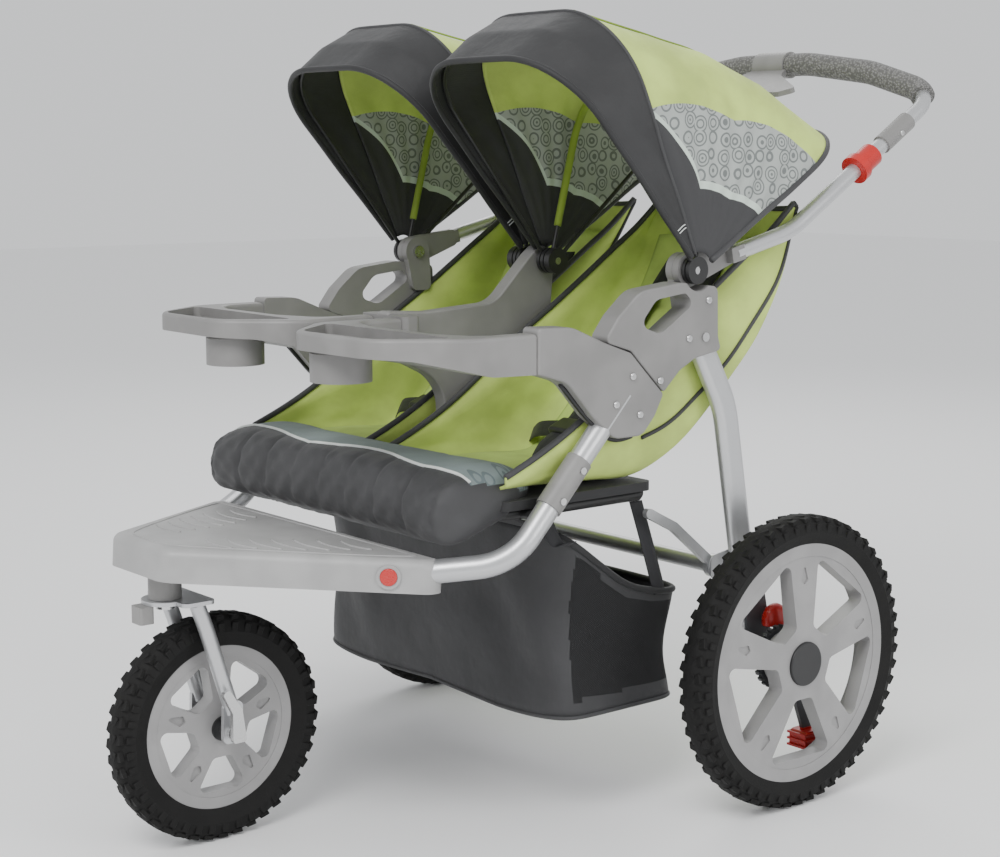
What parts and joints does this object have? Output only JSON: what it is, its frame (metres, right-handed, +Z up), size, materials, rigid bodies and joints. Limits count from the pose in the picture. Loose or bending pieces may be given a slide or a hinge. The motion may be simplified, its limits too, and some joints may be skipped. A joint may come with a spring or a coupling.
{
  "type": "double jogging stroller",
  "caption": "Side-by-side double stroller with a swivelling front wheel, large rear wheels, two hooded seats, snack trays, a footrest, a basket and a folding handle.",
  "frame": {"origin": "on the floor under the middle of the bounding box", "axes": "+Z up, -Y forward in the direction of travel, +X the stroller's left side"},
  "size_m": [0.822, 1.2005, 1.0579],
  "materials": {
    "tyre": "black tyre rubber",
    "rim_plastic": "moulded grey plastic",
    "dark_plastic": "dark grey plastic",
    "bracket_plastic": "warm grey plastic",
    "light_plastic": "light grey plastic",
    "red_plastic": "red plastic",
    "silver_tube": "silver paint over aluminium tube",
    "steel": "plain steel",
    "grip_rubber": "textured grey rubber",
    "canopy_lime": "woven polyester",
    "canopy_dark": "coated dark polyester",
    "seat_lime": "padded polyester",
    "cushion_dark": "padded dark polyester",
    "basket_dark": "coated dark polyester",
    "webbing": "woven webbing",
    "wire": "black coated steel wire"
  },
  "bodies": {
    "frame": {"front_frame_tubes": "silver_tube", "frame_sleeves": "bracket_plastic", "arm_brackets": "bracket_plastic", "loop_brackets": "bracket_plastic", "center_bracket": "bracket_plastic", "bracket_rivets": "steel", "hinge_pins": "steel", "footrest": "light_plastic", "reflectors": "red_plastic", "reflector_bezels": "light_plastic", "caster_housing": "bracket_plastic", "seat_frame": "silver_tube", "seat_pans": "dark_plastic", "front_cushion": "cushion_dark", "basket": "basket_dark", "basket_straps": "webbing"},
    "handle": {"handle_tube": "silver_tube", "handle_ends": "dark_plastic", "handle_grips": "grip_rubber", "handle_console": "bracket_plastic", "handle_sleeves": "bracket_plastic", "canopy_rear_bows": "wire", "canopy_roofs": "canopy_lime"},
    "canopy_left": {"canopy_visor_left": "canopy_dark", "canopy_front_bow_left": "wire"},
    "canopy_right": {"canopy_visor_right": "canopy_dark", "canopy_front_bow_right": "wire"},
    "canopy_left_middle": {"canopy_mid_bow_left": "wire"},
    "canopy_right_middle": {"canopy_mid_bow_right": "wire"},
    "rear_frame": {"rear_legs": "silver_tube", "axle_brackets": "dark_plastic", "rear_axles": "steel", "rear_cross_tube": "silver_tube"},
    "braces": {"braces": "silver_tube"},
    "rear_wheel_left": {"rear_tyre_left": "tyre", "rear_rim_left": "rim_plastic", "rear_hub_cap_left": "dark_plastic", "brake_disc_left": "dark_plastic"},
    "rear_wheel_right": {"rear_tyre_right": "tyre", "rear_rim_right": "rim_plastic", "rear_hub_cap_right": "dark_plastic", "brake_disc_right": "dark_plastic"},
    "fork": {"fork": "silver_tube", "caster_stem": "steel", "front_axle": "steel"},
    "swivel_lock": {"swivel_lock": "bracket_plastic"},
    "front_wheel": {"front_tyre": "tyre", "front_rim": "rim_plastic", "front_bearings": "dark_plastic"},
    "quick_release": {"quick_release_lever": "steel"},
    "brake_pedal_left": {"brake_pedal_left": "red_plastic"},
    "brake_pedal_right": {"brake_pedal_right": "red_plastic"},
    "tray_left": {"tray_left": "bracket_plastic"},
    "tray_right": {"tray_right": "bracket_plastic"},
    "seat_left": {"seat_back_left": "seat_lime"},
    "seat_right": {"seat_back_right": "seat_lime"},
    "fold_collar_left": {"fold_collar_left": "red_plastic"},
    "fold_collar_right": {"fold_collar_right": "red_plastic"},
    "snap_button_left": {"snap_button_left": "steel"},
    "snap_button_right": {"snap_button_right": "steel"}
  },
  "joints": [
    {"name": "handle_fold", "type": "hinge", "parent": "frame", "child": "handle", "pos_m": [0, 0.09075, 0.728], "axis": [1, 0, 0], "range_deg": [0, 120]},
    {"name": "rear_legs_fold", "type": "hinge", "parent": "frame", "child": "rear_frame", "pos_m": [0, 0.10275, 0.641], "axis": [1, 0, 0], "range_deg": [-50, 0], "deforming": ["basket_straps"]},
    {"name": "braces_fold", "type": "hinge", "parent": "rear_frame", "child": "braces", "pos_m": [0, 0.16175, 0.323], "axis": [1, 0, 0], "range_deg": [0, 66]},
    {"name": "canopy_left_fold", "type": "hinge", "parent": "handle", "child": "canopy_left", "pos_m": [0, 0.09075, 0.728], "axis": [1, 0, 0], "range_deg": [-78, 0], "deforming": ["canopy_roofs"]},
    {"name": "canopy_right_fold", "type": "hinge", "parent": "handle", "child": "canopy_right", "pos_m": [0, 0.09075, 0.728], "axis": [1, 0, 0], "range_deg": [-78, 0]},
    {"name": "canopy_left_middle_fold", "type": "hinge", "parent": "handle", "child": "canopy_left_middle", "pos_m": [0, 0.09075, 0.728], "axis": [1, 0, 0], "range_deg": [-30, 0]},
    {"name": "canopy_right_middle_fold", "type": "hinge", "parent": "handle", "child": "canopy_right_middle", "pos_m": [0, 0.09075, 0.728], "axis": [1, 0, 0], "range_deg": [-30, 0]},
    {"name": "rear_wheel_left_spin", "type": "hinge", "parent": "rear_frame", "child": "rear_wheel_left", "pos_m": [0.386, 0.21875, 0.2], "axis": [1, 0, 0], "continuous": true},
    {"name": "rear_wheel_right_spin", "type": "hinge", "parent": "rear_frame", "child": "rear_wheel_right", "pos_m": [-0.386, 0.21875, 0.2], "axis": [1, 0, 0], "continuous": true},
    {"name": "fork_swivel", "type": "hinge", "parent": "frame", "child": "fork", "pos_m": [0, -0.51925, 0.325], "axis": [0, 0, 1], "continuous": true},
    {"name": "front_wheel_spin", "type": "hinge", "parent": "fork", "child": "front_wheel", "pos_m": [0, -0.45125, 0.149], "axis": [1, 0, 0], "continuous": true},
    {"name": "swivel_lock_pull", "type": "slide", "parent": "fork", "child": "swivel_lock", "axis": [0, 0, 1], "range_m": [-0.003, 0]},
    {"name": "quick_release_turn", "type": "hinge", "parent": "fork", "child": "quick_release", "pos_m": [0.0544, -0.45125, 0.14], "axis": [0, -1, 0], "range_deg": [-90, 0]},
    {"name": "brake_left_press", "type": "hinge", "parent": "rear_frame", "child": "brake_pedal_left", "pos_m": [0.334, 0.27675, 0.172], "axis": [1, 0, 0], "range_deg": [-12, 0]},
    {"name": "brake_right_press", "type": "hinge", "parent": "rear_frame", "child": "brake_pedal_right", "pos_m": [-0.334, 0.27675, 0.172], "axis": [1, 0, 0], "range_deg": [-12, 0]},
    {"name": "tray_left_slide", "type": "slide", "parent": "frame", "child": "tray_left", "axis": [0, 1, 0], "range_m": [-0.12, 0]},
    {"name": "tray_right_slide", "type": "slide", "parent": "frame", "child": "tray_right", "axis": [0, 1, 0], "range_m": [-0.12, 0]},
    {"name": "seat_left_recline", "type": "hinge", "parent": "frame", "child": "seat_left", "pos_m": [0.159, 0.06075, 0.452], "axis": [1, 0, 0], "range_deg": [-15, 0]},
    {"name": "seat_right_recline", "type": "hinge", "parent": "frame", "child": "seat_right", "pos_m": [-0.159, 0.06075, 0.452], "axis": [1, 0, 0], "range_deg": [-15, 0]},
    {"name": "fold_collar_left_pull", "type": "slide", "parent": "handle", "child": "fold_collar_left", "axis": [0, -0.8482, -0.5297], "range_m": [-0.012, 0], "stiffness_N_per_m": 300},
    {"name": "fold_collar_right_pull", "type": "slide", "parent": "handle", "child": "fold_collar_right", "axis": [0, -0.8482, -0.5297], "range_m": [-0.012, 0], "stiffness_N_per_m": 300},
    {"name": "snap_button_left_press", "type": "slide", "parent": "handle", "child": "snap_button_left", "axis": [1, 0, 0], "range_m": [-0.0035, 0], "stiffness_N_per_m": 600},
    {"name": "snap_button_right_press", "type": "slide", "parent": "handle", "child": "snap_button_right", "axis": [-1, 0, 0], "range_m": [-0.0035, 0], "stiffness_N_per_m": 600}
  ],
  "couplings": [
    {"joint": "rear_legs_fold", "follows": "handle_fold", "ratio": -0.4166},
    {"joint": "braces_fold", "follows": "handle_fold", "ratio": 0.55},
    {"joint": "canopy_left_fold", "follows": "handle_fold", "ratio": -0.65},
    {"joint": "canopy_right_fold", "follows": "handle_fold", "ratio": -0.65},
    {"joint": "canopy_left_middle_fold", "follows": "handle_fold", "ratio": -0.25},
    {"joint": "canopy_right_middle_fold", "follows": "handle_fold", "ratio": -0.25}
  ]
}
